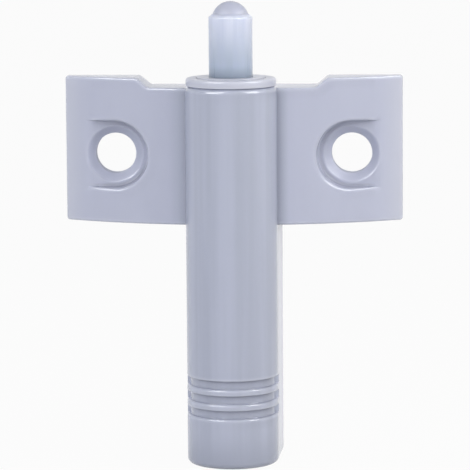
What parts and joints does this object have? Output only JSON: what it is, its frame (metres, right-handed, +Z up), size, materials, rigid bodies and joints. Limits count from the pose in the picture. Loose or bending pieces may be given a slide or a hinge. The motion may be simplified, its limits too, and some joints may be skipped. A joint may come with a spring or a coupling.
{
  "type": "cabinet door bumper",
  "caption": "Soft-close cabinet door bumper: a cross-shaped screw-on holder with arched wings and a grooved barrel, whose domed plunger slides in against an oil damper and spring.",
  "frame": {"origin": "on the back mounting plane, midway between the two screw holes", "axes": "+Z up the barrel towards the plunger, +Y out of the back into the cabinet panel, +X along the wings"},
  "size_m": [0.0456, 0.0133, 0.0624],
  "materials": {
    "bracket_grey": "smooth glossy moulded plastic, light cool grey",
    "collar_grey": "smooth moulded plastic, paler cool grey",
    "plunger_milky": "milky translucent moulded plastic",
    "inner_plastic": "natural acetal, satin",
    "rod_steel": "ground steel",
    "spring_steel": "drawn spring wire",
    "seal_rubber": "black nitrile rubber",
    "foam": "closed-cell foam"
  },
  "bodies": {
    "housing": {"mounting_bracket": "bracket_grey", "guide_sleeve": "collar_grey", "sleeve_end_plug": "inner_plastic", "piston_rod": "rod_steel", "piston": "inner_plastic", "valve_disc": "inner_plastic", "return_spring": "spring_steel"},
    "plunger": {"plunger_cylinder": "plunger_milky", "foam_compensator": "foam", "seal_washer": "rod_steel", "rod_seal": "seal_rubber", "rod_guide": "inner_plastic", "cylinder_end_cap": "inner_plastic"}
  },
  "joints": [
    {"name": "plunger_slide", "type": "slide", "parent": "housing", "child": "plunger", "axis": [0, 0, -1], "range_m": [0, 0.0095], "stiffness_N_per_m": 100, "springref_m": -0.006, "deforming": ["return_spring"]}
  ]
}
